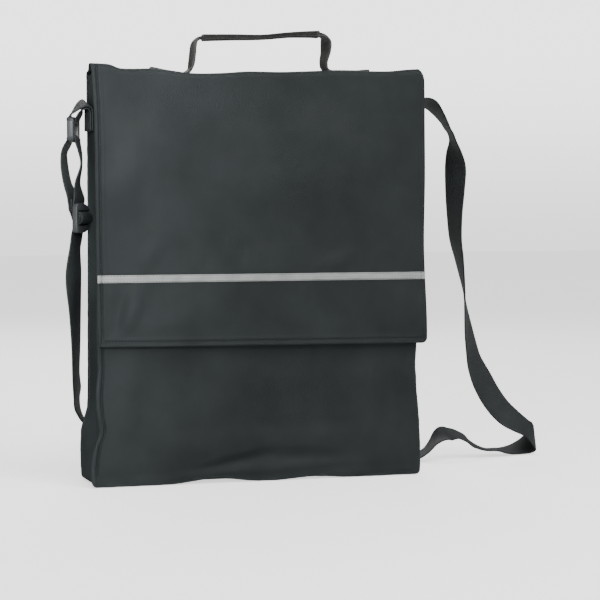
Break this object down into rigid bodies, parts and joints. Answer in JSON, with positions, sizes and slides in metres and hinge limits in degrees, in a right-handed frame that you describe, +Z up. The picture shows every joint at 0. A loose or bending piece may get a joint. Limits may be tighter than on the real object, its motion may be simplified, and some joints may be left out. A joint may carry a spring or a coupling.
{
  "type": "document bag",
  "caption": "Upright document bag of dark coated polyester with a full front flap, a reflective stripe, a webbing carry handle and an adjustable shoulder strap.",
  "frame": {"origin": "middle of the base, on the surface that the bag stands on", "axes": "+X to the right across the front, +Y towards the back, +Z up; the flap and the stripe face -Y"},
  "size_m": [0.5091, 0.1289, 0.4179],
  "materials": {
    "polyester_cloth": "fine weave, coated, slight sheen",
    "polyester_gusset": "fine weave, coated, slight sheen",
    "rolled_seam": "rolled and stitched cloth edge",
    "reflective_tape": "satin silver-grey tape",
    "handle_webbing": "folded and stitched webbing",
    "strap_webbing": "ribbed woven webbing",
    "moulded_plastic": "satin moulded"
  },
  "bodies": {
    "root": {"front_panel": "polyester_cloth", "back_panel": "polyester_cloth", "gusset": "polyester_gusset", "front_seam": "rolled_seam", "back_seam": "rolled_seam", "flap": "polyester_cloth", "reflective_stripe": "reflective_tape", "carry_handle": "handle_webbing", "strap_tab": "strap_webbing", "strap_ring": "moulded_plastic", "strap_slider": "moulded_plastic", "shoulder_strap": "strap_webbing"}
  },
  "joints": []
}
